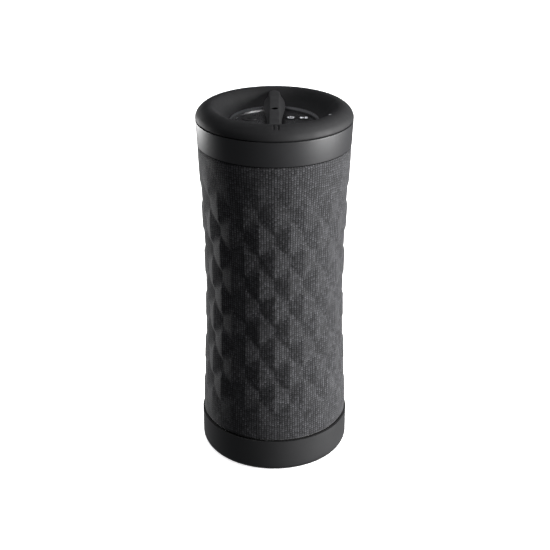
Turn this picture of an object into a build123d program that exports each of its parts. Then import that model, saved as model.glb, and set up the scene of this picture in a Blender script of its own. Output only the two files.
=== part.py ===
from build123d import *
import math
import os

os.makedirs("parts", exist_ok=True)

# ---------------------------------------------------------------- driving dimensions (mm)
# Z is up, the origin is the centre of the underside, the front faces -Y.
BODY_R = 44.1            # base cup and cap seam radius
HEIGHT = 212.5           # underside of the foot to the crest of the rim
BASE_TOP = 20.6          # top edge of the base cup
FABRIC_Z0 = 21.3         # lower edge of the fabric sleeve
FABRIC_Z1 = 190.6        # upper edge of the fabric sleeve
BAND_Z0 = 191.1          # lower edge of the upper band
BAND_Z1 = 204.9          # upper edge of the upper band
CAP_Z0 = 205.5           # lower edge of the rubber cap
FABRIC_T = 0.8           # fabric and its foam backing
GRILLE_T = 1.8           # grille wall
CHASSIS_R = 36.5         # speaker chamber, outside
CHASSIS_T = 2.5          # speaker chamber wall
CHASSIS_Z0 = 25.0
CHASSIS_Z1 = 187.5
DRIVER_Z = 140.0         # height of both drivers
RADIATOR_Z = 75.0        # height of both passive radiators
PANEL_Z = 201.9          # face of the control panel
PANEL_R = 23.0           # control panel radius
BEZEL_R = 24.2           # bezel ring outer radius
BUTTON_PROUD = 0.35      # button face above the panel
BUTTON_GAP = 0.25        # clearance around each button
STRAP_TOP_Z = 210.2      # top face of the carry strap
STRAP_LOW_Z = 206.9      # underside of the carry strap
STRAP_TOP_W = 5.8        # strap width at its top face
STRAP_LOW_W = 13.0       # widest strap width, at its underside
COVER_W = 22.0           # port cover width
COVER_Z0 = 7.5           # port cover lower edge, on its hinge line
COVER_Z1 = 16.8          # port cover upper edge
COVER_IN_Y = 41.9        # flat inner face of the port cover
BAY_Y = 36.4             # back wall of the port bay

# hourglass radius of the fabric against height
PROFILE = [(FABRIC_Z0, 43.35), (32.0, 42.95), (46.0, 42.15), (60.0, 41.4), (74.0, 40.72),
           (90.0, 40.25), (106.0, 40.08), (120.0, 40.16), (132.0, 40.4), (145.0, 40.8),
           (157.0, 41.3), (169.0, 41.98), (180.0, 42.7), (FABRIC_Z1, 43.3)]

UP = (Align.CENTER, Align.CENTER, Align.MIN)


def cyl(r, z0, z1, x=0.0, y=0.0):
    return Pos(x, y, z0) * Cylinder(r, z1 - z0, align=UP)


def tube(r1, r0, z0, z1, x=0.0, y=0.0):
    return cyl(r1, z0, z1, x, y) - cyl(r0, z0 - 1, z1 + 1, x, y)


def box(x0, x1, y0, y1, z0, z1):
    return Pos((x0 + x1) / 2, (y0 + y1) / 2, (z0 + z1) / 2) * Box(x1 - x0, y1 - y0, z1 - z0)


def turned(points):
    """Solid of revolution about Z from a closed (radius, height) outline."""
    pts = [(r, 0, z) for r, z in points]
    return revolve(make_face(Polyline(*pts, close=True)), axis=Axis.Z)


def turned_edges(edges):
    return revolve(make_face(Wire(edges)), axis=Axis.Z)


def ring_at(r, n, first_deg):
    return [(r * math.cos(math.radians(first_deg + 360.0 * k / n)),
             r * math.sin(math.radians(first_deg + 360.0 * k / n))) for k in range(n)]


parts = {}

# ---------------------------------------------------------------- base cup
FLOOR_Z = 0.6
outline = [
    Line((0, 0, FLOOR_Z), (41.2, 0, FLOOR_Z)),
    Spline([(41.2, 0, FLOOR_Z), (42.9, 0, 1.35), (43.8, 0, 2.9), (BODY_R, 0, 5.0)],
           tangents=[(1, 0, 0.05), (0, 0, 1)]),
    Line((BODY_R, 0, 5.0), (BODY_R, 0, BASE_TOP)),
    Line((BODY_R, 0, BASE_TOP), (41.6, 0, BASE_TOP)),
    Line((41.6, 0, BASE_TOP), (41.6, 0, 3.8)),
    Line((41.6, 0, 3.8), (0, 0, 3.8)),
    Line((0, 0, 3.8), (0, 0, FLOOR_Z)),
]
base = turned_edges(outline)
base -= cyl(37.2, 0, 1.6)                              # seat for the foot pad
BASE_SCREWS = [(14, 14), (-14, 14), (-14, -14), (14, -14)]
for bx, by in BASE_SCREWS:
    base += cyl(4.2, 3.0, 22.0, bx, by)
# port bay: a pocket with walls, behind a window in the cup's rear
BX, BZ0, BZ1 = 11.25, COVER_Z0 - 0.1, COVER_Z1 + 0.35
bay_block = box(-12.75, 12.75, BAY_Y - 1.4, 43.0, 3.0, BZ1 + 1.4) & cyl(42.5, 0, 22)
base += bay_block
base -= box(-BX, BX, BAY_Y, 50, BZ0, BZ1)
USB_X, JACK_X, SOCKET_Z, JACK_Z = -4.6, 5.6, 12.2, 13.1
base -= box(USB_X - 4.62, USB_X + 4.62, BAY_Y - 5, BAY_Y + 1, SOCKET_Z - 1.78, SOCKET_Z + 1.78)
base -= Pos(JACK_X, BAY_Y, JACK_Z) * Rot(90, 0, 0) * Cylinder(2.9, 8)
for bx, by in BASE_SCREWS:
    base -= cyl(1.75, 0, 23, bx, by)
    base -= cyl(3.3, 0, 6.0, bx, by)
parts["base_cup"] = base

foot = cyl(37.0, 0.0, 1.6) - tube(31.0, 30.0, -1, 0.5) - tube(21.0, 20.0, -1, 0.5)
parts["foot_pad"] = foot

screws = [cyl(2.9, 4.2, 6.0, x, y) - box(x - 1.0, x + 1.0, y - 1.0, y + 1.0, 4.0, 5.2)
          + cyl(1.45, 6.0, 29.0, x, y) for x, y in BASE_SCREWS]
parts["base_screws"] = Compound(children=screws)

# port cover: a curved flap with a flat inner face, hinged on its lower outer edge
cover = cyl(BODY_R, COVER_Z0, COVER_Z1) & box(-COVER_W / 2, COVER_W / 2, COVER_IN_Y, 50, 0, 30)
cover -= box(-3.5, 3.5, 43.35, 50, COVER_Z1 - 0.8, COVER_Z1 + 1)   # finger notch on the top edge
parts["port_cover"] = cover

usb = box(USB_X - 4.47, USB_X + 4.47, 29.4, BAY_Y, SOCKET_Z - 1.63, SOCKET_Z + 1.63)
usb = fillet(usb.edges().filter_by(Axis.Y), 1.5)
usb_in = box(USB_X - 4.17, USB_X + 4.17, 30.2, BAY_Y + 1, SOCKET_Z - 1.3, SOCKET_Z + 1.3)
usb_in = fillet(usb_in.edges().filter_by(Axis.Y), 1.25)
usb = usb - usb_in + box(USB_X - 3.3, USB_X + 3.3, 30.0, BAY_Y - 0.8, SOCKET_Z - 0.35, SOCKET_Z + 0.35)
parts["usb_socket"] = usb

jack = box(JACK_X - 3.0, JACK_X + 3.0, 23.6, 34.6, SOCKET_Z - 1.63, JACK_Z + 2.6)
jack += Pos(JACK_X, 35.5, JACK_Z) * Rot(90, 0, 0) * Cylinder(2.75, 1.8)
jack -= Pos(JACK_X, 31.4, JACK_Z) * Rot(90, 0, 0) * Cylinder(1.8, 14.0)
parts["aux_jack"] = jack

io = box(-11.5, 11.5, 20.0, 34.6, SOCKET_Z - 2.83, SOCKET_Z - 1.63)
parts["io_pcb"] = io
base_posts = [(-9.5, 22.0), (9.5, 22.0)]
for px, py in base_posts:
    parts["base_cup"] += cyl(1.8, 3.0, SOCKET_Z - 2.83, px, py)

# ---------------------------------------------------------------- seams
parts["lower_seam_gasket"] = tube(43.3, 40.6, BASE_TOP, FABRIC_Z0)
parts["upper_seam_gasket"] = tube(42.9, 40.6, FABRIC_Z1, BAND_Z0)
parts["cap_seam_gasket"] = tube(43.4, 41.3, BAND_Z1, CAP_Z0)

# ---------------------------------------------------------------- fabric sleeve and grille
def hourglass(offset, z0, z1):
    pts = [(r - offset, 0, z) for z, r in PROFILE]
    return pts


def hourglass_tube(o_out, o_in):
    outer = hourglass(o_out, FABRIC_Z0, FABRIC_Z1)
    inner = hourglass(o_in, FABRIC_Z0, FABRIC_Z1)
    e = [Spline(outer), Line(outer[-1], inner[-1]), Spline(list(reversed(inner))), Line(inner[0], outer[0])]
    return turned_edges(e)


parts["fabric_sleeve"] = hourglass_tube(0.0, FABRIC_T)
grille = hourglass_tube(FABRIC_T, FABRIC_T + GRILLE_T)
SLOT_W, SLOT_H = 5.2, 17.0
slots = []
for k in range(14):
    a = 360.0 * k / 14 + 360.0 / 28
    for j in range(6):
        zc = FABRIC_Z0 + 14.2 + j * 28.2
        s = Pos(40.5, 0, 0) * Box(10, SLOT_W, SLOT_H)
        s = fillet(s.edges().filter_by(Axis.X), 2.5)
        slots.append(Rot(0, 0, a) * Pos(0, 0, zc) * s)
grille = grille - slots
parts["grille_core"] = grille

# ---------------------------------------------------------------- end plates
lower_plate = cyl(40.3, 22.0, CHASSIS_Z0)
for x, y in BASE_SCREWS:
    lower_plate += cyl(3.6, 24.0, 31.0, x, y)
    lower_plate -= cyl(1.5, 21.0, 30.0, x, y)
CHASSIS_BOSS = ring_at(30.8, 4, 45.0)
for x, y in CHASSIS_BOSS:
    lower_plate -= cyl(1.5, 21.0, 26.0, x, y)
    lower_plate -= cyl(2.7, 21.0, 23.6, x, y)
lower_plate -= box(-5, 5, 24, 28, 21, 26)            # cable slot
parts["lower_end_plate"] = lower_plate

upper_plate = cyl(40.3, CHASSIS_Z1, 190.5)
PCB_POSTS = [(22, 0), (-22, 0), (0, 22), (0, -22)]
for x, y in PCB_POSTS:
    upper_plate += cyl(2.6, 173.6, 188.5, x, y)
    upper_plate -= cyl(1.0, 173.0, 182.0, x, y)
CAP_BOSS = ring_at(38.45, 4, 45.0)
for x, y in CAP_BOSS:
    upper_plate -= cyl(1.3, 186.0, 192.0, x, y)
for x, y in CHASSIS_BOSS:
    upper_plate -= cyl(1.5, 186.0, 192.0, x, y)
    upper_plate -= cyl(2.7, 188.9, 192.0, x, y)
upper_plate -= box(-5.0, 5.0, -13.0, -11.0, 186, 192)  # ribbon slot
parts["upper_end_plate"] = upper_plate

cs = []
for x, y in CHASSIS_BOSS:
    cs.append(cyl(2.4, 22.0, 23.6, x, y) + cyl(1.35, 23.6, 33.0, x, y))
    cs.append(cyl(2.4, 188.9, 190.5, x, y) + cyl(1.35, 179.5, 188.9, x, y))
parts["chassis_screws"] = Compound(children=cs)

# ---------------------------------------------------------------- speaker chamber, two halves
outer_c = cyl(CHASSIS_R, CHASSIS_Z0, CHASSIS_Z1)
shell = outer_c - cyl(CHASSIS_R - CHASSIS_T, CHASSIS_Z0 - 1, CHASSIS_Z1 + 1)
for x, y in CHASSIS_BOSS:
    shell += cyl(3.6, CHASSIS_Z0, 37.0, x, y) + cyl(3.6, 175.5, CHASSIS_Z1, x, y)
for s in (-1, 1):
    ya, yb = sorted((s * 24.5, s * 40.0))
    shell += box(-27, 27, ya, yb, DRIVER_Z - 26.5, DRIVER_Z + 26.5) & outer_c
    xa, xb = sorted((s * 26.0, s * 40.0))
    shell += box(xa, xb, -24, 24, RADIATOR_Z - 24, RADIATOR_Z + 24) & outer_c
for s in (-1, 1):
    ya, yb = sorted((s * 27.0, s * 45.0))
    shell -= box(-24.8, 24.8, ya, yb, DRIVER_Z - 24.2, DRIVER_Z + 24.2)
    shell -= Pos(0, s * 26, DRIVER_Z) * Rot(90, 0, 0) * Cylinder(20.0, 8)
    xa, xb = sorted((s * 28.5, s * 45.0))
    shell -= box(xa, xb, -22, 22, RADIATOR_Z - 22, RADIATOR_Z + 22)
    shell -= Pos(s * 27.5, 0, RADIATOR_Z) * Rot(0, 90, 0) * Cylinder(17.8, 8)
for x, y in CHASSIS_BOSS:
    shell -= cyl(1.4, 24, 34.5, x, y)
    shell -= cyl(1.4, 178.5, 189, x, y)


def facing(shape, direction, z):
    """Turn a shape built on +Z so that it points outwards, and lift it to height z."""
    turn = {"front": Rot(90, 0, 0), "rear": Rot(-90, 0, 0), "right": Rot(0, 90, 0), "left": Rot(0, -90, 0)}
    return Pos(0, 0, z) * turn[direction] * shape


DRV_SCREW = ring_at(21.15, 4, 45.0)
RAD_SCREW = ring_at(19.0, 4, 45.0)
drv_pilot = [cyl(0.75, 24.9, 28.0, x, y) for x, y in DRV_SCREW]
rad_pilot = [cyl(0.75, 26.4, 29.0, x, y) for x, y in RAD_SCREW]
for d in ("front", "rear"):
    for p in drv_pilot:
        shell -= facing(p, d, DRIVER_Z)
for d in ("left", "right"):
    for p in rad_pilot:
        shell -= facing(p, d, RADIATOR_Z)
parts["chassis_front"] = shell & box(-50, 50, -50, 0, 0, 220)
parts["chassis_rear"] = shell & box(-50, 50, 0, 50, 0, 220)

# ---------------------------------------------------------------- drivers (built on +Z, radius from the axis)
frame = turned([(18.9, 28.5), (22.4, 28.5), (22.4, 27.0), (19.5, 27.0), (14.8, 15.0), (7.6, 15.0),
                (7.6, 16.0), (14.0, 16.0), (18.3, 27.0), (18.9, 27.0)])
for k in range(4):
    frame -= Rot(0, 0, 90 * k) * box(13.0, 24.0, -4.5, 4.5, 18.0, 24.5)
for x, y in DRV_SCREW:
    frame -= cyl(0.9, 26, 30, x, y)
magnet = turned([(0, 4.8), (14.2, 4.8), (14.2, 15.0), (7.1, 15.0), (7.1, 7.2), (5.5, 7.2), (5.5, 15.0), (0, 15.0)])
surround = turned([(16.6, 26.9), (16.65, 27.7), (17.1, 28.3), (17.75, 28.5), (18.4, 28.3), (18.9, 27.7),
                   (18.9, 27.1), (18.3, 27.7), (17.75, 28.0), (17.3, 27.8), (17.05, 27.4), (17.0, 26.9)])
cone = turned([(0, 22.4), (3.5, 21.9), (6.4, 20.3), (16.25, 26.5), (16.25, 27.1), (6.6, 21.1), (3.6, 22.6), (0, 23.1)])
coil = turned([(6.0, 9.6), (6.6, 9.6), (6.6, 20.25), (6.0, 20.25)])
fl = []
for d in ("front", "rear"):
    parts[d + "_driver_frame"] = facing(frame, d, DRIVER_Z)
    parts[d + "_driver_magnet"] = facing(magnet, d, DRIVER_Z)
    parts[d + "_driver_surround"] = facing(surround, d, DRIVER_Z)
    parts[d + "_driver_cone"] = facing(cone, d, DRIVER_Z)
    parts[d + "_voice_coil"] = facing(coil, d, DRIVER_Z)
    for x, y in DRV_SCREW:
        fl.append(facing(cyl(1.15, 28.5, 29.2, x, y) + cyl(0.7, 25.4, 28.5, x, y), d, DRIVER_Z))

rad_frame = turned([(16.9, 28.5), (20.9, 28.5), (20.9, 30.0), (16.9, 30.0)])
for x, y in RAD_SCREW:
    rad_frame -= cyl(0.9, 28, 31, x, y)
rad_surround = turned([(13.8, 28.5), (13.95, 29.3), (14.6, 29.85), (15.35, 30.0), (16.1, 29.85), (16.9, 29.3),
                       (16.9, 28.7), (16.1, 29.25), (15.35, 29.45), (14.7, 29.25), (14.3, 28.9), (14.25, 28.5)])
rad_plate = turned([(0, 24.6), (8.0, 24.6), (8.0, 27.4), (13.45, 27.4), (13.45, 28.8), (0, 28.8)])
for d in ("left", "right"):
    parts[d + "_radiator_frame"] = facing(rad_frame, d, RADIATOR_Z)
    parts[d + "_radiator_surround"] = facing(rad_surround, d, RADIATOR_Z)
    parts[d + "_radiator_plate"] = facing(rad_plate, d, RADIATOR_Z)
    for x, y in RAD_SCREW:
        fl.append(facing(cyl(1.15, 30.0, 30.7, x, y) + cyl(0.7, 26.9, 30.0, x, y), d, RADIATOR_Z))
parts["flange_screws"] = Compound(children=fl)

# ---------------------------------------------------------------- battery and electronics
cells = [fillet(cyl(9.1, 38.0, 103.0, x, 0).edges(), 0.8) for x in (-9.5, 9.5)]
parts["battery_cells"] = Compound(children=cells)
holder = box(-20.5, 20.5, -10.5, 10.5, 33.0, 108.0) - box(-19.2, 19.2, -12, 12, 38.0, 103.0)
for x in (-16, 16):
    for y in (-7, 7):
        holder += box(x - 2, x + 2, y - 2, y + 2, CHASSIS_Z0, 33.5)
parts["battery_holder"] = holder

pcb = cyl(30.0, 172.0, 173.6) - box(-40, 40, 26, 40, 170, 175)
for x, y in PCB_POSTS:
    pcb -= cyl(1.2, 171, 175, x, y)
parts["main_pcb"] = pcb
parts["main_pcb_screws"] = Compound(children=[cyl(1.9, 170.8, 172.0, x, y) + cyl(0.95, 172.0, 180.0, x, y)
                                              for x, y in PCB_POSTS])
caps = [cyl(3.1, 173.6, 181.5, x, y) for x, y in ((-12, 10), (-12, 2), (-12, -6), (12, 10))]
parts["pcb_capacitors"] = Compound(children=caps)
chips = [box(x - 3.5, x + 3.5, y - 3.5, y + 3.5, 173.6, 174.6) for x, y in ((3, 3), (12, -8), (3, 13))]
parts["pcb_chips"] = Compound(children=chips)
parts["battery_leads"] = Compound(children=[cyl(0.7, 108.0, 172.0, x, 0) for x in (-1.6, 1.6)])
parts["ribbon_cable"] = box(-4.0, 4.0, -12.2, -11.8, 173.6, 194.2)

# ---------------------------------------------------------------- upper band
band = turned([(43.3, BAND_Z0), (44.0, BAND_Z1), (41.25, BAND_Z1), (41.25, BAND_Z0)])
parts["upper_band"] = chamfer(band.edges().filter_by(GeomType.CIRCLE).sort_by(SortBy.RADIUS)[-1:], 0.25)

# ---------------------------------------------------------------- rubber cap with its dish
crest = (36.2, HEIGHT)
cap_edges = [
    Spline([(BODY_R - 0.05, 0, CAP_Z0), (43.75, 0, 207.4), (42.3, 0, 209.8), (39.6, 0, 211.8), (crest[0], 0, crest[1])],
           tangents=[(0, 0, 1), (-1, 0, 0)]),
    Spline([(crest[0], 0, crest[1]), (33.9, 0, 211.75), (31.6, 0, 209.75), (28.6, 0, 206.6), (BEZEL_R + 0.1, 0, 203.5)],
           tangents=[(-1, 0, 0), (-0.9, 0, -0.55)]),
]
tail = [(BEZEL_R + 0.1, 203.5), (BEZEL_R + 0.1, 200.6), (21.9, 200.6), (21.9, 198.4), (25.6, 198.4), (28.6, 202.2),
        (33.0, 207.0), (34.0, 207.9), (38.6, 207.9), (38.6, 201.0), (41.2, 201.0), (41.2, CAP_Z0), (BODY_R - 0.05, CAP_Z0)]
for a, b in zip(tail[:-1], tail[1:]):
    cap_edges.append(Line((a[0], 0, a[1]), (b[0], 0, b[1])))
cap = turned_edges(cap_edges)
for x, y in CAP_BOSS:
    cap += cyl(2.1, 190.5, 208.5, x, y)
    cap -= cyl(1.1, 190.0, 203.0, x, y)
PANEL_POSTS = ring_at(22.9, 4, 45.0)
for x, y in PANEL_POSTS:
    cap += cyl(2.0, 195.4, 199.0, x, y)
    cap -= cyl(0.8, 195.0, 199.6, x, y)
for s, half in ((-1, 5.05), (1, 4.5)):                # slots for the two strap ends
    ya, yb = sorted((s * 27.0, s * 36.4))
    cap -= box(-half, half, ya, yb, 204.0, STRAP_TOP_Z + 0.05)
for x in (-0.3, 2.1):                                 # two short grooves over the front of the rim
    cap -= box(x - 0.35, x + 0.35, -40.6, -34.0, 211.5, 214.0)
LED_X, LED_Y = 29.8, -17.2
cap -= cyl(0.82, 205.0, 214.0, LED_X, LED_Y)          # light pipe hole near the rim
parts["top_cap"] = cap
parts["status_led"] = cyl(0.8, 206.8, 211.8, LED_X, LED_Y) + cyl(1.5, 205.8, 206.8, LED_X, LED_Y)

parts["cap_screws"] = Compound(children=[cyl(1.7, 186.0, CHASSIS_Z1, x, y) + cyl(1.05, CHASSIS_Z1, 201.5, x, y)
                                         for x, y in CAP_BOSS])

# ---------------------------------------------------------------- carry strap
h = STRAP_TOP_Z
sec = [(-STRAP_TOP_W / 2, h - 0.35), (-STRAP_TOP_W / 2 + 0.35, h), (STRAP_TOP_W / 2 - 0.35, h), (STRAP_TOP_W / 2, h - 0.35),
       (STRAP_LOW_W / 2, STRAP_LOW_Z + 0.9), (STRAP_LOW_W / 2, STRAP_LOW_Z), (-STRAP_LOW_W / 2, STRAP_LOW_Z),
       (-STRAP_LOW_W / 2, STRAP_LOW_Z + 0.9)]
strap_face = make_face(Polyline(*[(x, -36.2, z) for x, z in sec], close=True))
strap = extrude(strap_face, amount=72.4, dir=(0, 1, 0))
# seen from above the strap is widest just behind the middle and narrows to both ends
plan = [(4.6, -36.2), (4.9, -24.0), (5.5, -12.0), (6.2, -2.0), (6.5, 8.0), (6.2, 16.0), (5.0, 24.0), (3.6, 30.0), (3.0, 36.2)]
right_side = Spline([(x, y, 200.0) for x, y in plan])
left_side = Spline([(-x, y, 200.0) for x, y in reversed(plan)])
leaf = make_face(Wire([right_side, Line((3.0, 36.2, 200.0), (-3.0, 36.2, 200.0)), left_side,
                       Line((-4.6, -36.2, 200.0), (4.6, -36.2, 200.0))]))
strap &= extrude(leaf, amount=20.0, dir=(0, 0, 1))
for s in (-1, 1):
    ya, yb = sorted((s * 32.6, s * 36.2))
    strap += box(-3.0, 3.0, ya, yb, 206.1, STRAP_LOW_Z + 0.9)
    ya, yb = sorted((s * 34.3, s * 37.4))
    strap += box(-8.2, 8.2, ya, yb, 205.6, 207.85)
strap -= cyl(1.7, h - 1.6, h + 1)
parts["carry_handle"] = strap

# ---------------------------------------------------------------- control panel
bezel = turned([(BEZEL_R, 200.6), (BEZEL_R, 203.4), (BEZEL_R - 0.2, 203.5), (23.2, PANEL_Z + 0.1), (23.05, PANEL_Z),
                (23.05, 200.6)])
parts["control_bezel"] = bezel
BUTTONS = {"power_button": (9.2, 9.0, 3.0), "play_button": (16.4, 8.6, 3.0),
           "volume_up_button": (-13.8, 8.0, 4.3), "volume_down_button": (-13.8, -8.0, 4.3)}
panel = cyl(PANEL_R, 200.6, PANEL_Z)
switches = []
for name, (x, y, r) in BUTTONS.items():
    panel -= cyl(r + BUTTON_GAP, 198, 203, x, y)
for name, (x, y, r) in BUTTONS.items():
    b = cyl(r, 200.7, PANEL_Z + BUTTON_PROUD, x, y)
    b = chamfer(b.edges().filter_by(GeomType.CIRCLE).sort_by(Axis.Z)[-1:], 0.25)
    b += cyl(1.1, 198.2, 200.7, x, y)
    switches.append(box(x - 2.2, x + 2.2, y - 2.2, y + 2.2, 195.4, 197.2) + cyl(1.0, 197.2, 197.6, x, y))
    parts[name] = b
# raised plus and minus on the two volume buttons
zt = PANEL_Z + BUTTON_PROUD
vx, vy, _ = BUTTONS["volume_up_button"]
parts["volume_up_button"] += box(vx - 1.7, vx + 1.7, vy - 0.3, vy + 0.3, zt - 0.1, zt + 0.15)
parts["volume_up_button"] += box(vx - 0.3, vx + 0.3, vy - 1.7, vy + 1.7, zt - 0.1, zt + 0.15)
vx, vy, _ = BUTTONS["volume_down_button"]
parts["volume_down_button"] += box(vx - 1.7, vx + 1.7, vy - 0.3, vy + 0.3, zt - 0.1, zt + 0.15)
parts["control_panel"] = panel
parts["tact_switches"] = Compound(children=switches)
cpcb = cyl(25.2, 194.2, 195.4)
for x, y in PANEL_POSTS:
    cpcb -= cyl(0.95, 194, 196, x, y)
parts["control_pcb"] = cpcb
parts["control_pcb_screws"] = Compound(children=[cyl(1.6, 193.2, 194.2, x, y) + cyl(0.75, 194.2, 198.6, x, y)
                                                 for x, y in PANEL_POSTS])

# ---------------------------------------------------------------- write every node
for name, shape in parts.items():
    export_step(shape, os.path.join("parts", name + ".step"))
    print(name, len(shape.solids()), "solid(s)", round(shape.volume, 1), "mm3")
print(len(parts), "nodes")
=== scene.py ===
import math

import bpy
import numpy as np
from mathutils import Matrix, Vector


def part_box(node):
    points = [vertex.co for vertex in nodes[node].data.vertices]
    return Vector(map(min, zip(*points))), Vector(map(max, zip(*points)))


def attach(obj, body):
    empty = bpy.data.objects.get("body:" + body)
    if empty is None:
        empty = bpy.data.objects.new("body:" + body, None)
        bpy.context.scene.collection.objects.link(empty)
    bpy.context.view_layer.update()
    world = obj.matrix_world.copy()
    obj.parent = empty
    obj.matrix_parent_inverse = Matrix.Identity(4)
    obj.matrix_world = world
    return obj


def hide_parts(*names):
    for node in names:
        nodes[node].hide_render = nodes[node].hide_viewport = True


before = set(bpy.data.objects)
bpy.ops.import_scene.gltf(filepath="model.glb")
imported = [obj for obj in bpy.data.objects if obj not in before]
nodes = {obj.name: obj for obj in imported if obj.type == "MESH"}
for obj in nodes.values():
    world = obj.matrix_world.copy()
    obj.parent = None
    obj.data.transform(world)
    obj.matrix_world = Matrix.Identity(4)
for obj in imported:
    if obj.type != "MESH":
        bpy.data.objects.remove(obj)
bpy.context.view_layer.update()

MM = 0.001
scene = bpy.context.scene

# ------------------------------------------------------------------ shared dimensions, mm
HOUR = [(21.3, 43.35), (32.0, 42.95), (46.0, 42.15), (60.0, 41.4), (74.0, 40.72), (90.0, 40.25), (106.0, 40.08),
        (120.0, 40.16), (132.0, 40.4), (145.0, 40.8), (157.0, 41.3), (169.0, 41.98), (180.0, 42.7), (190.6, 43.3)]
COLS = 30                 # facet columns round the sleeve
ROWS = 6                  # facet periods up the sleeve
Z_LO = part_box("fabric_sleeve")[0].z / MM
Z_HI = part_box("fabric_sleeve")[1].z / MM
PANEL_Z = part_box("control_panel")[1].z / MM


# ------------------------------------------------------------------ mesh helpers
def new_obj(name, verts, faces, mat=None, smooth=True, sharp=None, uvs=None):
    me = bpy.data.meshes.new(name)
    me.from_pydata([tuple(v) for v in verts], [], [tuple(f) for f in faces])
    me.validate()
    me.update()
    if smooth:
        me.polygons.foreach_set("use_smooth", [True] * len(me.polygons))
        if sharp:
            me.set_sharp_from_angle(angle=math.radians(sharp))
    ob = bpy.data.objects.new(name, me)
    scene.collection.objects.link(ob)
    if mat:
        me.materials.append(mat)
    if uvs is not None:
        lay = me.uv_layers.new(name="UVMap")
        loops = np.zeros(len(me.loops), np.int32)
        me.loops.foreach_get("vertex_index", loops)
        lay.data.foreach_set("uv", np.asarray(uvs, np.float32)[loops].ravel())
    return ob


def fillet_poly(pts, radii, closed=False, n=5):
    """A polyline whose corners are rounded by arcs. radii gives one radius per point."""
    out = []
    m = len(pts)
    for i, (p, r) in enumerate(zip(pts, radii)):
        if r <= 0 or (not closed and i in (0, m - 1)):
            out.append(tuple(p))
            continue
        a = np.array(pts[i - 1], float) - p
        b = np.array(pts[(i + 1) % m], float) - p
        la, lb = np.linalg.norm(a), np.linalg.norm(b)
        a, b = a / la, b / lb
        ang = math.acos(max(-1, min(1, float(a @ b))))
        if ang > math.pi - 0.03:
            out.append(tuple(p))
            continue
        t = min(r / math.tan(ang / 2), la * 0.48, lb * 0.48)
        p0, p1 = p + a * t, p + b * t
        for k in range(n + 1):
            s = k / n
            q = (1 - s) ** 2 * p0 + 2 * s * (1 - s) * np.array(p, float) + s ** 2 * p1
            out.append(tuple(q))
    return out


def angles(n, extra=()):
    a = list(np.arange(n) * 2 * math.pi / n)
    for lo, hi, step in extra:
        a += list(np.radians(np.arange(lo, hi, step)) % (2 * math.pi))
    a = sorted(set(round(x, 7) for x in a))
    keep = [a[0]]
    for x in a[1:]:
        if x - keep[-1] > 1e-4:
            keep.append(x)
    return np.array(keep)


def lathe(name, prof, mat, seg=256, closed=False, sharp=40, extra=(), shift=None):
    """Turned surface from an outline of (radius, height) in mm; angle 0 is the front (-Y), growing to +X."""
    an = angles(seg, extra)
    n = len(an)
    prof = [tuple(p) for p in prof]
    verts, rings = [], []
    for r, z in prof:
        if r < 1e-6:
            rings.append([len(verts)])
            verts.append((0, 0, z * MM))
            continue
        ids = []
        for a in an:
            rr, zz = (r, z) if shift is None else shift(r, z, a)
            ids.append(len(verts))
            verts.append((rr * math.sin(a) * MM, -rr * math.cos(a) * MM, zz * MM))
        rings.append(ids)
    faces = []
    pairs = list(zip(rings[:-1], rings[1:]))
    if closed:
        pairs.append((rings[-1], rings[0]))
    for lo, hi in pairs:
        for k in range(n):
            k2 = (k + 1) % n
            if len(lo) == 1 and len(hi) == 1:
                continue
            if len(lo) == 1:
                faces.append((lo[0], hi[k2], hi[k]))
            elif len(hi) == 1:
                faces.append((lo[k], lo[k2], hi[0]))
            else:
                faces.append((lo[k], lo[k2], hi[k2], hi[k]))
    return new_obj(name, verts, faces, mat, sharp=sharp)


def smooth01(x):
    x = np.clip(x, 0.0, 1.0)
    return x * x * (3 - 2 * x)


def spline_r(z):
    """Smooth radius of the sleeve at height z (mm), by a natural cubic through HOUR."""
    return np.interp(z, _zs, _rs)


def _natural(xs, ys, xq):
    xs, ys = np.array(xs, float), np.array(ys, float)
    n = len(xs)
    h = np.diff(xs)
    A = np.zeros((n, n))
    rhs = np.zeros(n)
    A[0, 0] = A[-1, -1] = 1
    for i in range(1, n - 1):
        A[i, i - 1], A[i, i], A[i, i + 1] = h[i - 1], 2 * (h[i - 1] + h[i]), h[i]
        rhs[i] = 6 * ((ys[i + 1] - ys[i]) / h[i] - (ys[i] - ys[i - 1]) / h[i - 1])
    M = np.linalg.solve(A, rhs)
    i = np.clip(np.searchsorted(xs, xq) - 1, 0, n - 2)
    d = xq - xs[i]
    b = (ys[i + 1] - ys[i]) / h[i] - h[i] * (2 * M[i] + M[i + 1]) / 6
    return ys[i] + b * d + M[i] / 2 * d ** 2 + (M[i + 1] - M[i]) / (6 * h[i]) * d ** 3


_zs = np.linspace(Z_LO, Z_HI, 800)
_rs = _natural([a for a, b in HOUR], [b for a, b in HOUR], _zs)


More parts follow.
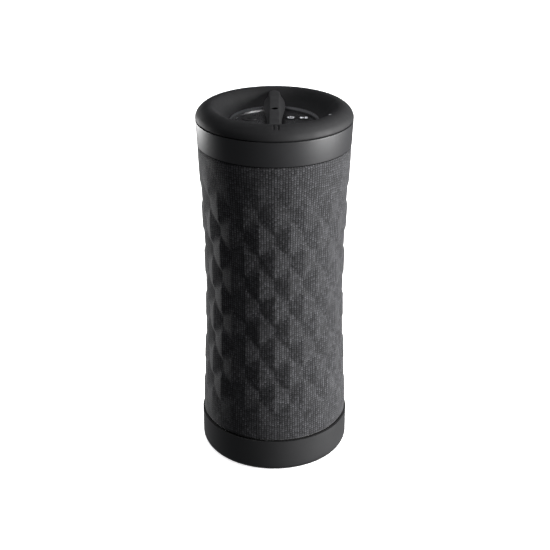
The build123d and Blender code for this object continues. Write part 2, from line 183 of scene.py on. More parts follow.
# ------------------------------------------------------------------ material helpers
class Mat:
    def __init__(self, name):
        self.m = bpy.data.materials.new(name)
        self.m.use_nodes = True
        self.t = self.m.node_tree
        self.t.nodes.clear()
        self.out = self.t.nodes.new("ShaderNodeOutputMaterial")
        self.p = self.t.nodes.new("ShaderNodeBsdfPrincipled")
        self.link(self.p.outputs[0], self.out.inputs["Surface"])
        self._obj = None

    def link(self, a, b):
        self.t.links.new(a, b)

    def put(self, sock, v):
        if isinstance(v, bpy.types.NodeSocket):
            self.link(v, sock)
        else:
            sock.default_value = v

    def set(self, **kw):
        names = {"color": "Base Color", "rough": "Roughness", "metal": "Metallic", "spec": "Specular IOR Level",
                 "sheen": "Sheen Weight", "sheen_rough": "Sheen Roughness", "sheen_tint": "Sheen Tint",
                 "coat": "Coat Weight", "coat_rough": "Coat Roughness", "ior": "IOR"}
        for k, v in kw.items():
            if k in ("color", "sheen_tint") and not isinstance(v, bpy.types.NodeSocket):
                v = (*v, 1.0)
            self.put(self.p.inputs[names[k]], v)
        return self

    def obj(self):
        if self._obj is None:
            self._obj = self.t.nodes.new("ShaderNodeTexCoord")
        return self._obj.outputs["Object"]

    def uv(self):
        n = self.t.nodes.new("ShaderNodeUVMap")
        n.uv_map = "UVMap"
        return n.outputs[0]

    def mapped(self, scale, vec=None):
        n = self.t.nodes.new("ShaderNodeMapping")
        n.inputs["Scale"].default_value = scale
        self.link(vec or self.obj(), n.inputs["Vector"])
        return n.outputs[0]

    def noise(self, scale, detail=3.0, rough=0.55, vec=None, dist=0.0):
        n = self.t.nodes.new("ShaderNodeTexNoise")
        n.inputs["Scale"].default_value = scale
        n.inputs["Detail"].default_value = detail
        n.inputs["Roughness"].default_value = rough
        n.inputs["Distortion"].default_value = dist
        self.link(vec or self.obj(), n.inputs["Vector"])
        return n.outputs["Fac"]

    def voronoi(self, scale, vec=None, feature="F1"):
        n = self.t.nodes.new("ShaderNodeTexVoronoi")
        n.feature = feature
        n.inputs["Scale"].default_value = scale
        self.link(vec or self.obj(), n.inputs["Vector"])
        return n.outputs["Distance"]

    def math(self, op, a, b=None, c=None, clamp=False):
        n = self.t.nodes.new("ShaderNodeMath")
        n.operation = op
        n.use_clamp = clamp
        self.put(n.inputs[0], a)
        if b is not None:
            self.put(n.inputs[1], b)
        if c is not None:
            self.put(n.inputs[2], c)
        return n.outputs[0]

    def sep(self, vec):
        n = self.t.nodes.new("ShaderNodeSeparateXYZ")
        self.link(vec, n.inputs[0])
        return n.outputs

    def comb(self, x, y, z):
        n = self.t.nodes.new("ShaderNodeCombineXYZ")
        for s, v in zip(n.inputs, (x, y, z)):
            self.put(s, v)
        return n.outputs[0]

    def remap(self, v, a, b, lo, hi):
        n = self.t.nodes.new("ShaderNodeMapRange")
        self.put(n.inputs["Value"], v)
        for k, x in zip(("From Min", "From Max", "To Min", "To Max"), (a, b, lo, hi)):
            n.inputs[k].default_value = x
        return n.outputs[0]

    def ramp(self, v, stops):
        n = self.t.nodes.new("ShaderNodeValToRGB")
        e = n.color_ramp.elements
        while len(e) < len(stops):
            e.new(0.5)
        for el, (pos, col) in zip(e, stops):
            el.position = pos
            el.color = (*col, 1.0)
        self.put(n.inputs[0], v)
        return n.outputs[0]

    def mixc(self, f, a, b):
        n = self.t.nodes.new("ShaderNodeMix")
        n.data_type = "RGBA"
        self.put(n.inputs["Factor"], f)
        for s, v in ((n.inputs[6], a), (n.inputs[7], b)):
            self.put(s, v if isinstance(v, bpy.types.NodeSocket) else (*v, 1.0))
        return n.outputs[2]

    def bump(self, height, strength, distance, prev=None):
        n = self.t.nodes.new("ShaderNodeBump")
        n.inputs["Strength"].default_value = strength
        n.inputs["Distance"].default_value = distance
        self.link(height, n.inputs["Height"])
        if prev is not None:
            self.link(prev, n.inputs["Normal"])
        return n.outputs[0]

    def normal(self, sock):
        self.link(sock, self.p.inputs["Normal"])
        return self


def moulded(name, color, rough, spread=0.05, grain=2600.0, depth=0.00002, strength=0.35, spec=0.5, vary=0.25):
    """Moulded plastic: spark-eroded grain, faint flow marks in the colour, and uneven gloss."""
    m = Mat(name)
    big = m.noise(28.0, 4.0, 0.6)
    fine = m.noise(grain, 2.0, 0.5)
    lo = tuple(c * (1 - vary) for c in color)
    hi = tuple(min(1.0, c * (1 + vary)) for c in color)
    m.set(color=m.ramp(big, [(0.3, lo), (0.72, hi)]))
    r = m.math("ADD", m.remap(big, 0.3, 0.7, rough - spread, rough + spread), m.remap(fine, 0.3, 0.7, -0.02, 0.02))
    m.set(rough=r, spec=spec)
    m.normal(m.bump(fine, strength, depth))
    return m.m


def rubbery(name, color, rough=0.62, spec=0.3, vary=0.22):
    """Soft-touch rubber: very fine pores, slight handling bloom, matte."""
    m = Mat(name)
    big = m.noise(35.0, 5.0, 0.62)
    pores = m.noise(4200.0, 2.0, 0.6)
    smudge = m.noise(90.0, 3.0, 0.5, dist=0.6)
    lo = tuple(c * (1 - vary) for c in color)
    hi = tuple(min(1.0, c * (1 + vary)) for c in color)
    m.set(color=m.mixc(m.remap(smudge, 0.45, 0.8, 0.0, 0.5), m.ramp(big, [(0.3, lo), (0.7, hi)]),
                       tuple(c * 1.35 for c in color)))
    m.set(rough=m.remap(smudge, 0.3, 0.75, rough + 0.05, rough - 0.07), spec=spec)
    m.normal(m.bump(pores, 0.4, 0.000018))
    return m.m


def metal(name, color, rough=0.3, aniso=(1.0, 1.0, 18.0), depth=0.00001):
    m = Mat(name)
    lines = m.noise(900.0, 3.0, 0.6, vec=m.mapped(aniso))
    blot = m.noise(60.0, 3.0, 0.5)
    lo = tuple(c * 0.82 for c in color)
    m.set(color=m.ramp(blot, [(0.3, lo), (0.7, color)]), metal=1.0)
    m.set(rough=m.remap(lines, 0.3, 0.7, rough - 0.07, rough + 0.09))
    m.normal(m.bump(lines, 0.25, depth))
    return m.m


def acoustic_fabric(name):
    """Coarse knitted acoustic mesh. UV is in mm: U runs round the sleeve, V runs up it."""
    m = Mat(name)
    u, v, _ = m.sep(m.uv())
    PW, PC = 1.46, 1.38
    wob = m.noise(0.35, 2.0, 0.5, vec=m.uv())
    uu = m.math("DIVIDE", m.math("ADD", u, m.remap(wob, 0.2, 0.8, -0.16, 0.16)), PW)
    vv = m.math("DIVIDE", m.math("ADD", v, m.remap(wob, 0.2, 0.8, 0.14, -0.14)), PC)
    fu = m.math("FRACT", uu)
    tri = m.math("MULTIPLY", m.math("ABSOLUTE", m.math("SUBTRACT", fu, 0.5)), 2.0)
    col = m.t.nodes.new("ShaderNodeTexWhiteNoise")
    m.link(m.comb(m.math("FLOOR", uu), 3.0, 0.0), col.inputs["Vector"])
    ph = m.math("ADD", m.math("MULTIPLY_ADD", col.outputs["Value"], 0.8, vv), m.math("MULTIPLY", tri, -0.6))
    st = m.math("MULTIPLY_ADD", m.math("SINE", m.math("MULTIPLY", ph, 2 * math.pi)), 0.5, 0.5)
    wale = m.math("SUBTRACT", 1.0, m.math("POWER", tri, 2.2))
    mid = m.math("MULTIPLY_ADD", m.math("POWER", m.math("SUBTRACT", 1.0, tri), 6.0), -0.35, 1.0)
    h = m.math("MULTIPLY", m.math("MULTIPLY", wale, mid), m.math("MULTIPLY_ADD", st, 0.48, 0.52))
    # thread to thread variation: each stitch and each course takes its own tone
    cell = m.comb(m.math("FLOOR", uu), m.math("FLOOR", ph), 0.0)
    wn = m.t.nodes.new("ShaderNodeTexWhiteNoise")
    m.link(cell, wn.inputs["Vector"])
    tone = wn.outputs["Value"]
    fibre = m.noise(7.0, 3.0, 0.7, vec=m.uv())
    patch = m.noise(0.09, 3.0, 0.6, vec=m.uv())
    # the colour follows the knit's height: low parts are darker, partly the dark grille seen through the gaps, partly
    # painted shade on the sides of the threads and in the gaps; tone, fibre and patch add random thread-to-thread
    # variation
    knit_shade_and_tone = m.math("ADD", m.math("MULTIPLY", h, 0.70), m.math("MULTIPLY", tone, 0.30))
    knit_shade_and_tone = m.math("ADD", knit_shade_and_tone, m.remap(fibre, 0.3, 0.7, -0.10, 0.10))
    knit_shade_and_tone = m.math("ADD", knit_shade_and_tone, m.remap(patch, 0.3, 0.7, -0.02, 0.02))
    m.set(color=m.ramp(knit_shade_and_tone, [(0.16, (0.0025, 0.0025, 0.0027)), (0.45, (0.0135, 0.0135, 0.0145)),
                                (0.75, (0.040, 0.040, 0.043)), (1.0, (0.095, 0.095, 0.101))]))
    m.set(rough=m.remap(tone, 0.0, 1.0, 0.72, 0.92), spec=0.18, sheen=0.16, sheen_rough=0.35)
    hh = m.math("ADD", h, m.remap(fibre, 0.3, 0.7, -0.12, 0.12))
    m.normal(m.bump(hh, 0.6, 0.00018))
    return m.m


M_CAP = rubbery("cap_rubber", (0.0085, 0.0085, 0.0090), 0.70, 0.22)
M_STRAP = rubbery("strap_rubber", (0.0125, 0.0125, 0.0131), 0.58, 0.36)
M_FOOT = rubbery("foot_rubber", (0.010, 0.010, 0.0105), 0.75, 0.2)
M_BAND = moulded("band_satin", (0.0120, 0.0120, 0.0128), 0.45, 0.02, 3600.0, 0.000006, 0.25, 0.37, 0.10)
M_BASE = moulded("base_matte", (0.0120, 0.0120, 0.0125), 0.52, 0.03, 2400.0, 0.00002, 0.35, 0.34, 0.15)
# near-black: the seam gaskets' own colour, and painted shade where it lines the strap's hole
M_SEAM_AND_HOLE_SHADE = moulded("seam_gap_and_hole_shade", (0.0022, 0.0022, 0.0023), 0.85, 0.04, 2400.0, 0.00002, 0.2, 0.1)
M_PANEL = moulded("panel_gloss", (0.0115, 0.0115, 0.0120), 0.26, 0.03, 5200.0, 0.000004, 0.15, 0.5)
M_KEY = moulded("key_gloss", (0.0100, 0.0100, 0.0105), 0.30, 0.03, 5200.0, 0.000006, 0.2, 0.5)
M_BEZEL = metal("bezel_satin", (0.34, 0.34, 0.35), 0.30, (1.0, 1.0, 30.0), 0.000004)
M_INNER = moulded("inner_plastic", (0.030, 0.030, 0.031), 0.6)
M_STEEL = metal("plated_steel", (0.58, 0.58, 0.60), 0.28)
M_IRON = metal("magnet_iron", (0.22, 0.22, 0.23), 0.4)
M_COPPER = metal("copper_wire", (0.72, 0.36, 0.18), 0.3)
M_CONE = moulded("cone_paper", (0.018, 0.018, 0.018), 0.8, 0.04, 1200.0, 0.00005, 0.6, 0.2)
M_BOARD = moulded("solder_mask", (0.010, 0.060, 0.028), 0.35, 0.04, 800.0, 0.00003, 0.3)
M_CHIP = moulded("epoxy_black", (0.015, 0.015, 0.016), 0.5)
M_CAN = metal("capacitor_can", (0.60, 0.60, 0.62), 0.35)
M_CELL = moulded("cell_wrap", (0.030, 0.085, 0.21), 0.3, 0.04, 2000.0, 0.00001, 0.2)
M_WIRE = moulded("wire_sleeve", (0.22, 0.015, 0.015), 0.45)
M_LENS = moulded("led_lens", (0.62, 0.62, 0.66), 0.25, 0.03, 3000.0, 0.000005, 0.2)
M_ICON = moulded("icon_white", (0.66, 0.67, 0.71), 0.5, 0.05, 3500.0, 0.000005, 0.2, 0.4, 0.04)
M_FABRIC = acoustic_fabric("acoustic_mesh")

CARRIED = {
    "base_cup": M_BASE, "foot_pad": M_FOOT, "port_cover": M_STRAP, "usb_socket": M_STEEL, "aux_jack": M_CHIP,
    "io_pcb": M_BOARD, "lower_seam_gasket": M_SEAM_AND_HOLE_SHADE, "upper_seam_gasket": M_SEAM_AND_HOLE_SHADE, "cap_seam_gasket": M_SEAM_AND_HOLE_SHADE,
    "grille_core": M_INNER, "lower_end_plate": M_INNER, "upper_end_plate": M_INNER, "chassis_front": M_INNER,
    "chassis_rear": M_INNER, "battery_holder": M_INNER, "ribbon_cable": M_INNER, "battery_cells": M_CELL,
    "battery_leads": M_WIRE, "main_pcb": M_BOARD, "control_pcb": M_BOARD, "pcb_chips": M_CHIP,
    "tact_switches": M_CHIP, "pcb_capacitors": M_CAN, "control_panel": M_PANEL,
}
for nm, ob in nodes.items():
    mat = CARRIED.get(nm)
    if mat is None:
        if "screw" in nm:
            mat = M_STEEL
        elif "magnet" in nm:
            mat = M_IRON
        elif "coil" in nm:
            mat = M_COPPER
        elif "cone" in nm or "plate" in nm:
            mat = M_CONE
        elif "surround" in nm:
            mat = M_FOOT
        elif "button" in nm:
            mat = M_KEY
        else:
            mat = M_CHIP
    for k in range(max(1, len(ob.data.materials))):
        if k < len(ob.data.materials):
            ob.data.materials[k] = mat
        else:
            ob.data.materials.append(mat)


# ------------------------------------------------------------------ fabric sleeve with its facets
def facet(col, u, z):
    """Tilt of the grille facets: -1..1, for column number, place across the column and height."""
    P = (Z_HI - Z_LO) / ROWS
    w = (Z_HI - z) / P - (0.5 if col % 2 else 0.0)
    w = w - np.round(w)                      # 0 in the middle of the facet that leans to the right
    zc = -w * P                              # height above that middle
    half = 9.2 + (4.9 - 9.2) * u             # the facet is taller on its left side
    top = zc - half                          # above 0: past the upper, crisp fold
    bot = -zc - half                         # above 0: past the lower, soft fold
    side = abs(2 * u - 1) ** 1.5
    ha = 0.9 + 2.3 * side                    # upper fold: crisp in the middle of a column
    hb = 5.2 - 2.0 * side                    # lower fold: soft
    s_top = 1 - 2 * smooth01((top + ha) / (2 * ha))
    s_bot = 1 - 2 * smooth01((bot + hb) / (2 * hb))
    s = np.minimum(s_top, s_bot)
    return s * (1 - 2 * u)


def make_sleeve():
    sub = 14
    nu = COLS * sub
    zs = [Z_LO]
    zs += list(np.arange(Z_LO + 0.25, Z_HI - 0.2, 0.62))
    zs += [Z_HI]
    zs = np.array(zs)
    amp = 0.68
    fade = 0.10 + 0.90 * smooth01((zs - Z_LO) / 34.0) * smooth01((Z_HI - zs) / 44.0)
    edge = np.minimum(smooth01((zs - Z_LO) / 1.2), smooth01((Z_HI - zs) / 1.2))
    base = spline_r(zs)
    R = np.zeros((len(zs), nu))
    for i in range(nu):
        col, k = divmod(i, sub)
        col = (col + COLS // 2) % COLS        # the wrap starts and ends at the back
        u = k / sub
        h = facet(col, u, zs)
        R[:, i] = base + amp * fade * edge * h - 0.7 * (1 - edge)
    a = np.arange(nu) / nu * 2 * math.pi + math.pi
    rows = []
    # a turned-in lip at each end, so that the cloth runs down into the seams
    rows.append((R[0] - 0.9, np.full(nu, zs[0])))
    for j in range(len(zs)):
        rows.append((R[j], np.full(nu, zs[j])))
    rows.append((R[-1] - 0.9, np.full(nu, zs[-1])))
    verts, uvs = [], []
    circ = 2 * math.pi * 41.4
    for rr, z in rows:
        for k in range(nu + 1):
            kk = k % nu
            verts.append((rr[kk] * math.sin(a[kk]) * MM, -rr[kk] * math.cos(a[kk]) * MM, z[kk] * MM))
            uvs.append((circ * k / nu, z[kk]))
    n = nu + 1
    faces = [(j * n + k, j * n + k + 1, (j + 1) * n + k + 1, (j + 1) * n + k)
             for j in range(len(rows) - 1) for k in range(nu)]
    ob = new_obj("fabric_wrap", verts, faces, M_FABRIC, uvs=uvs)
    return ob


sleeve = make_sleeve()
# the wrap's back seam closes the loop: the last column of points is the first one again
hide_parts("fabric_sleeve")
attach(sleeve, "body")

# ------------------------------------------------------------------ upper band
B0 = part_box("upper_band")[0].z / MM
B1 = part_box("upper_band")[1].z / MM
band = lathe("upper_band_shell",
             fillet_poly([(41.25, B0), (43.3, B0), (44.0, B1), (41.25, B1)], [0.1, 0.35, 0.35, 0.1], closed=True),
             M_BAND, seg=320, closed=True, sharp=50)
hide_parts("upper_band")
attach(band, "body")

# ------------------------------------------------------------------ rubber cap
CAP_OUT = [(44.05, 205.5), (44.02, 206.3), (43.78, 207.4), (43.18, 208.7), (42.3, 209.8), (41.1, 210.9), (39.6, 211.8),
           (38.0, 212.33), (36.2, 212.5), (35.0, 212.3), (33.9, 211.75), (32.8, 210.95), (31.6, 209.85), (30.1, 208.2),
           (28.6, 206.6), (26.5, 204.9), (24.3, 203.55)]


def through(pts, per=6):
    """A smooth curve through the points, by chord length."""
    p = np.array(pts, float)
    t = np.concatenate([[0], np.cumsum(np.linalg.norm(np.diff(p, axis=0), axis=1))])
    q = np.linspace(0, t[-1], per * (len(pts) - 1) + 1)
    return [tuple(v) for v in np.stack([_natural(t, p[:, 0], q), _natural(t, p[:, 1], q)], 1)]


def cap_shift(r, z, a):
    """Two short pressed grooves over the front of the rim, beside the strap's front end."""
    if z < 205.0 or not (32.0 < r < 43.5):
        return r, z
    x = r * math.sin(a)
    y = r * math.cos(a)
    if y < 0 or abs(x) > 6:
        return r, z
    along = smooth01((y - 33.8) / 0.8) * smooth01((40.9 - y) / 0.8)
    cut = 0.0
    for c in (-0.3, 2.1):
        cut = max(cut, 1 - smooth01((abs(x - c) - 0.25) / 0.35))
    return r, z - 0.75 * cut * along


outer = [(r, min(z, 212.5)) for r, z in through(CAP_OUT)]
cap_prof = fillet_poly([(41.2, 205.5), (43.6, 205.5)], [0, 0]) + [(43.85, 205.53), (44.0, 205.65)] + outer[2:]
cap_prof += [(24.25, 203.4), (24.22, 202.6), (24.22, 200.7), (21.9, 200.6), (21.9, 198.4), (25.6, 198.4), (28.6, 202.2),
             (33.0, 206.9), (34.0, 207.8), (38.6, 207.8), (38.6, 201.0), (41.2, 201.0)]
cap = lathe("cap_shell", cap_prof, M_CAP, seg=320, closed=True, sharp=50, extra=[(-2.2, 5.2, 0.12)], shift=cap_shift)
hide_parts("top_cap")
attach(cap, "body")

# ------------------------------------------------------------------ carry strap
PLAN_Y = [-36.2, -24.0, -12.0, -2.0, 7.0, 13.5, 19.6, 25.8, 31.0, 36.2]
PLAN_W = [4.0, 4.0, 4.2, 4.95, 5.9, 6.1, 5.85, 5.35, 4.8, 4.2]


def make_strap():
    ys = np.linspace(-35.6, 35.6, 190)
    rings = []
    for y in ys:
        w = float(_natural(PLAN_Y, PLAN_W, np.array([y]))[0])
        lift = float(smooth01((abs(y) - 24.0) / 10.0))
        zt = 210.2 + 0.95 * lift
        zb = 206.95 + 0.9 * lift
        if y > 24.0:                                   # the rear end closes in a rounded tip
            w *= math.sqrt(max(0.04, 1 - ((y - 24.0) / 9.3) ** 2))
        t = min(2.9 + 0.25 * float(smooth01((y - 14) / 12.0)), w - 0.3)
        crown = 0.10
        half = [(0.0, zt + crown)]
        for k in range(1, 7):                          # almost flat top face, slightly crowned
            x = (t - 0.55) * k / 6
            half.append((x, zt + crown * (1 - (x / t) ** 2)))
        for k in range(1, 7):                          # rounded shoulder
            g = math.radians(90 * k / 6)
            half.append((t - 0.55 + 0.55 * math.sin(g), zt - 0.55 + 0.55 * math.cos(g) + 0.02))
        for k in range(1, 11):                         # flank that flares out towards the underside
            s = k / 10
            x = t + (w - t) * s ** 1.12
            z = (zt - 0.55) - (zt - 0.55 - (zb + 0.55)) * (1 - (1 - s) ** 1.12)
            half.append((x, z))
        for k in range(1, 6):                          # lower edge radius
            g = math.radians(90 * k / 5)
            half.append((w - 0.55 + 0.55 * math.cos(g), zb + 0.55 - 0.55 * math.sin(g)))
        for k in range(1, 5):
            half.append(((w - 0.55) * (1 - k / 4), zb))
        full = half + [(-x, z) for x, z in reversed(half[1:-1])]
        rings.append([(x, y, z) for x, z in full])
    n = len(rings[0])
    verts = [p for r in rings for p in r]
    # scale the points to metres; the round blind hole in the middle of the top face is cut further down, by a boolean
    out = []
    for x, y, z in verts:
        out.append((x * MM, y * MM, z * MM))
    faces = []
    for j in range(len(rings) - 1):
        for k in range(n):
            k2 = (k + 1) % n
            faces.append((j * n + k, j * n + k2, (j + 1) * n + k2, (j + 1) * n + k))
    faces.append(tuple(range(n)))
    faces.append(tuple(reversed(range((len(rings) - 1) * n, len(rings) * n))))
    return new_obj("carry_strap", out, faces, M_STRAP, sharp=60)


strap = make_strap()


def cut_with(target, cutter):
    mod = target.modifiers.new("cut", "BOOLEAN")
    mod.operation = "DIFFERENCE"
    mod.solver = "EXACT"
    mod.object = cutter
    dg = bpy.context.evaluated_depsgraph_get()
    me = bpy.data.meshes.new_from_object(target.evaluated_get(dg))
    target.modifiers.clear()
    old = target.data
    name = old.name
    target.data = me
    bpy.data.meshes.remove(old)
    me.name = name
    bpy.data.objects.remove(cutter)


hole = lathe("hole_tool", fillet_poly([(0, 208.5), (2.0, 208.5), (2.0, 210.16), (2.3, 210.5), (0, 212.0)],
                                      [0, 0.4, 0.1, 0, 0]), None, seg=64)
cut_with(strap, hole)
strap.data.materials.clear()
strap.data.materials.append(M_STRAP)
strap.data.materials.append(M_SEAM_AND_HOLE_SHADE)
# faces inside the hole take the near-black seam material: painted shade in the hole, darker than the strap's own rubber
for poly in strap.data.polygons:
    c = poly.center
    poly.material_index = 1 if math.hypot(c.x, c.y) < 2.05 * MM and 208.0 * MM < c.z < 210.1 * MM else 0
strap.data.polygons.foreach_set("use_smooth", [True] * len(strap.data.polygons))
strap.data.set_sharp_from_angle(angle=math.radians(50))
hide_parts("carry_handle")
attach(strap, "body")

# ------------------------------------------------------------------ bezel ring
bezel = lathe("bezel_ring",
              [(22.72, 200.7), (24.2, 200.7), (24.2, 203.2), (24.9, 203.6), (24.98, 203.95), (24.9, 204.12), (24.7, 204.22),
               (24.4, 204.2), (24.1, 204.08), (23.8, 203.88), (23.5, 203.6), (23.25, 203.28), (23.03, 202.9),
               (22.87, 202.5), (22.77, 202.1), (22.74, PANEL_Z)], M_BEZEL, seg=256, closed=True, sharp=60)
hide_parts("control_bezel")
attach(bezel, "body")


# ------------------------------------------------------------------ buttons with their marks
def flat_shape(name, outline_sets, z, thick, mat):
    """Raised flat marks from closed outlines (mm, counter-clockwise), each a list of (x, y)."""
    verts, faces = [], []
    for pts in outline_sets:
        n = len(pts)
        b = len(verts)
        verts += [(x * MM, y * MM, (z - 0.05) * MM) for x, y in pts]
        verts += [(x * MM, y * MM, (z + thick) * MM) for x, y in pts]
        for k in range(n):
            k2 = (k + 1) % n
            faces.append((b + k, b + k2, b + n + k2, b + n + k))
        faces.append(tuple(b + n + k for k in range(n)))
    return new_obj(name, verts, faces, mat, smooth=False)


def arc_band(cx, cy, r0, r1, a0, a1, n=28):
    a = np.radians(np.linspace(a0, a1, n))
    out = [(cx + r1 * math.cos(t), cy + r1 * math.sin(t)) for t in a]
    out += [(cx + r0 * math.cos(t), cy + r0 * math.sin(t)) for t in reversed(a)]
    return out


def bar(cx, cy, w, h, r=0.18):
    pts = []
    for sx, sy, a0 in ((1, 1, 0), (-1, 1, 90), (-1, -1, 180), (1, -1, 270)):
        for k in range(4):
            t = math.radians(a0 + 30 * k)
            pts.append((cx + sx * (w / 2 - r) + r * math.cos(t), cy + sy * (h / 2 - r) + r * math.sin(t)))
    return pts


def strip_mesh(name, sets, z, thick, mat, quads):
    """As flat_shape, for bands given as two equal rows of points, so that no face is a bent n-gon."""
    verts, faces = [], []
    for pts in sets:
        n = len(pts)
        h = n // 2
        b = len(verts)
        verts += [(x * MM, y * MM, (z - 0.05) * MM) for x, y in pts]
        verts += [(x * MM, y * MM, (z + thick) * MM) for x, y in pts]
        for k in range(n):
            k2 = (k + 1) % n
            faces.append((b + k, b + k2, b + n + k2, b + n + k))
        for k in range(h - 1):
            faces.append((b + n + k, b + n + k + 1, b + n + (n - 2 - k), b + n + (n - 1 - k)))
    return new_obj(name, verts, faces, mat, smooth=False)


def make_button(node, body, dished):
    lo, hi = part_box(node)
    cx, cy = (lo.x + hi.x) / 2 / MM, (lo.y + hi.y) / 2 / MM
    r = (hi.x - lo.x) / 2 / MM
    zt = PANEL_Z + 0.35
    prof = [(0, 198.2), (1.1, 198.2), (1.1, 200.7), (r, 200.7), (r, zt - 0.28), (r - 0.06, zt - 0.1), (r - 0.16, zt - 0.02),
            (r - 0.3, zt)]
    for k in range(1, 9):
        q = (r - 0.3) * (1 - k / 8)
        prof.append((q, zt - dished * (1 - (q / (r - 0.3)) ** 2)))
    ob = lathe(node + "_key", prof, M_KEY, seg=72, sharp=50)
    me = ob.data
    co = np.zeros(len(me.vertices) * 3, np.float32)
    me.vertices.foreach_get("co", co)
    co = co.reshape(-1, 3) + np.array([cx * MM, cy * MM, 0], np.float32)
    me.vertices.foreach_set("co", co.ravel())
    me.update()
    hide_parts(node)
    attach(ob, body)
    return cx, cy, zt - dished * 0.6


def mark(ob, body):
    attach(ob, body)


cx, cy, zt = make_button("power_button", "power_button", 0.06)
mark(strip_mesh("power_mark_ring", [arc_band(cx, cy, 1.25, 1.85, 125, 415, 36)], zt, 0.09, M_ICON, True), "power_button")
mark(flat_shape("power_mark_bar", [bar(cx, cy + 1.25, 0.6, 1.9)], zt, 0.09, M_ICON), "power_button")

cx, cy, zt = make_button("play_button", "play_button", 0.06)
tri = [(cx - 1.85, cy - 1.35), (cx - 1.7, cy - 1.45), (cx + 0.35, cy - 0.12), (cx + 0.42, cy), (cx + 0.35, cy + 0.12),
       (cx - 1.7, cy + 1.45), (cx - 1.85, cy + 1.35)]
mark(flat_shape("play_mark", [tri, bar(cx + 1.0, cy, 0.55, 2.7), bar(cx + 1.85, cy, 0.55, 2.7)], zt, 0.09, M_ICON),
     "play_button")

cx, cy, zt = make_button("volume_up_button", "volume_up_button", 0.10)
mark(flat_shape("plus_mark", [bar(cx, cy, 3.2, 0.62), bar(cx, cy, 0.62, 3.2)], zt, 0.16, M_KEY), "volume_up_button")
cx, cy, zt = make_button("volume_down_button", "volume_down_button", 0.10)
mark(flat_shape("minus_mark", [bar(cx, cy, 3.2, 0.62)], zt, 0.16, M_KEY), "volume_down_button")


# ------------------------------------------------------------------ status light on the rim
def make_led():
    lo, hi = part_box("status_led")
    cx, cy = (lo.x + hi.x) / 2 / MM, (lo.y + hi.y) / 2 / MM
    r0 = math.hypot(cx, cy)
    p = np.array(outer)
    k = int(np.argmin(abs(p[:, 0] - r0) + 10 * (p[:, 1] < 206)))
    tan = p[k + 1] - p[k - 1]
    nrm = np.array([tan[1], -tan[0]])
    nrm = nrm / np.linalg.norm(nrm)
    if nrm[1] < 0:
        nrm = -nrm
    d = np.array([cx, cy]) / r0
    N = Vector((d[0] * nrm[0], d[1] * nrm[0], nrm[1])).normalized()
    T = N.cross(Vector((0, 0, 1))).normalized()
    B = N.cross(T)
    c0 = Vector((d[0] * p[k][0], d[1] * p[k][0], p[k][1]))
    prof = [(1.02, -0.3), (1.02, 0.03), (0.94, 0.06), (0.84, 0.02), (0.80, -0.05), (0.74, 0.03), (0.5, 0.09), (0.25, 0.12), (0, 0.13)]
    seg = 40
    verts, faces = [], []
    for r, h in prof[:-1]:
        for s in range(seg):
            t = 2 * math.pi * s / seg
            verts.append((c0 + T * (r * math.cos(t)) + B * (r * math.sin(t)) + N * h) * MM)
    verts.append((c0 + N * prof[-1][1]) * MM)
    for j in range(len(prof) - 2):
        for s in range(seg):
            s2 = (s + 1) % seg
            faces.append((j * seg + s, j * seg + s2, (j + 1) * seg + s2, (j + 1) * seg + s))
    top = len(prof) - 2
    for s in range(seg):
        faces.append((top * seg + s, top * seg + (s + 1) % seg, len(verts) - 1))
    verts = [Vector((v.x, v.y, min(v.z, 212.49 * MM))) for v in verts]
    ob = new_obj("status_light", verts, faces, M_LENS, sharp=50)
    ob.data.materials.append(M_KEY)
    for poly in ob.data.polygons:
        if poly.index < 3 * seg:
            poly.material_index = 1
    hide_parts("status_led")
    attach(ob, "body")


make_led()

# ------------------------------------------------------------------ floor, light, camera
floor_mat = Mat("pale_floor")
fn = floor_mat.noise(6.0, 3.0, 0.5)
floor_mat.set(color=floor_mat.ramp(fn, [(0.3, (0.86, 0.86, 0.86)), (0.7, (0.88, 0.88, 0.88))]), rough=0.9, spec=0.0)
floor_mat.p.inputs["Emission Color"].default_value = (1.0, 1.0, 1.0, 1.0)
floor_mat.p.inputs["Emission Strength"].default_value = 0.80
FR = 6.0
floor = new_obj("floor", [(-FR, -FR, 0), (FR, -FR, 0), (FR, FR, 0), (-FR, FR, 0)], [(0, 1, 2, 3)], floor_mat.m, smooth=False)
geo = floor_mat.t.nodes.new("ShaderNodeNewGeometry")
clear = floor_mat.t.nodes.new("ShaderNodeBsdfTransparent")
pick = floor_mat.t.nodes.new("ShaderNodeMixShader")
floor_mat.link(geo.outputs["Backfacing"], pick.inputs[0])
floor_mat.link(floor_mat.p.outputs[0], pick.inputs[1])
floor_mat.link(clear.outputs[0], pick.inputs[2])
floor_mat.link(pick.outputs[0], floor_mat.out.inputs["Surface"])
floor.visible_glossy = False
floor.visible_diffuse = False

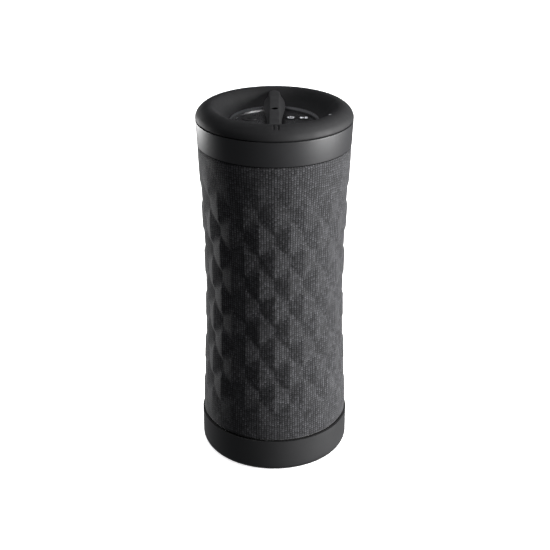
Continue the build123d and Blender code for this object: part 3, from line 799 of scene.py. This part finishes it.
back_mat = Mat("pale_backdrop")
bn = back_mat.noise(0.4, 2.0, 0.5)
back_mat.set(color=back_mat.ramp(bn, [(0.3, (0.90, 0.90, 0.90)), (0.7, (0.92, 0.92, 0.92))]), rough=1.0, spec=0.0)
back_mat.p.inputs["Emission Color"].default_value = (1.0, 1.0, 1.0, 1.0)
back_mat.p.inputs["Emission Strength"].default_value = 0.96
sweep = [(0.0, -6.0), (3.0, -5.2), (5.2, -3.0), (6.0, 0.0), (5.2, 3.0), (3.0, 5.2), (0.0, 6.0)]
backdrop = lathe("backdrop", [(1000 * r, 1000 * z) for r, z in through(sweep)[::-1]], back_mat.m, seg=64)
for flag in ("visible_glossy", "visible_diffuse", "visible_transmission", "visible_shadow"):
    setattr(backdrop, flag, False)

world = bpy.data.worlds.new("studio")
scene.world = world
world.use_nodes = True
bg = world.node_tree.nodes["Background"]
bg.inputs["Color"].default_value = (0.93, 0.95, 1.0, 1.0)
bg.inputs["Strength"].default_value = 0.18


def area(name, loc, target, size, size_y, power, color=(1, 1, 1), spread=180):
    li = bpy.data.lights.new(name, "AREA")
    li.shape = "RECTANGLE"
    li.size, li.size_y = size, size_y
    li.energy = power
    li.color = color
    li.spread = math.radians(spread)
    ob = bpy.data.objects.new(name, li)
    scene.collection.objects.link(ob)
    ob.location = loc
    d = Vector(target) - Vector(loc)
    ob.rotation_euler = d.to_track_quat("-Z", "Y").to_euler()
    return ob


top = area("top_soft", (0.1, 0.35, 2.2), (0, 0.1, 0), 2.2, 2.2, 62.0)
top.visible_glossy = False
area("key_right", (0.92, -0.25, 0.27), (0, 0, 0.10), 0.72, 0.54, 45.0)
area("rim_left", (-0.62, 0.555, 0.062), (0, 0, 0.085), 0.32, 0.115, 6.2)

cam = bpy.data.cameras.new("camera")
cam.sensor_width = 36.0
cam.lens = 36.0 * 1160.0 / 550.0
cam.shift_x = 0.57 / 550.0
cam.clip_start = 0.01
cam_ob = bpy.data.objects.new("camera", cam)
scene.collection.objects.link(cam_ob)
cam_ob.location = (0.0, -0.6196, 0.3988)
cam_ob.rotation_euler = (math.radians(90.0 - 25.10), 0.0, 0.0)
scene.camera = cam_ob
scene.view_settings.view_transform = "Standard"
scene.view_settings.look = "None"
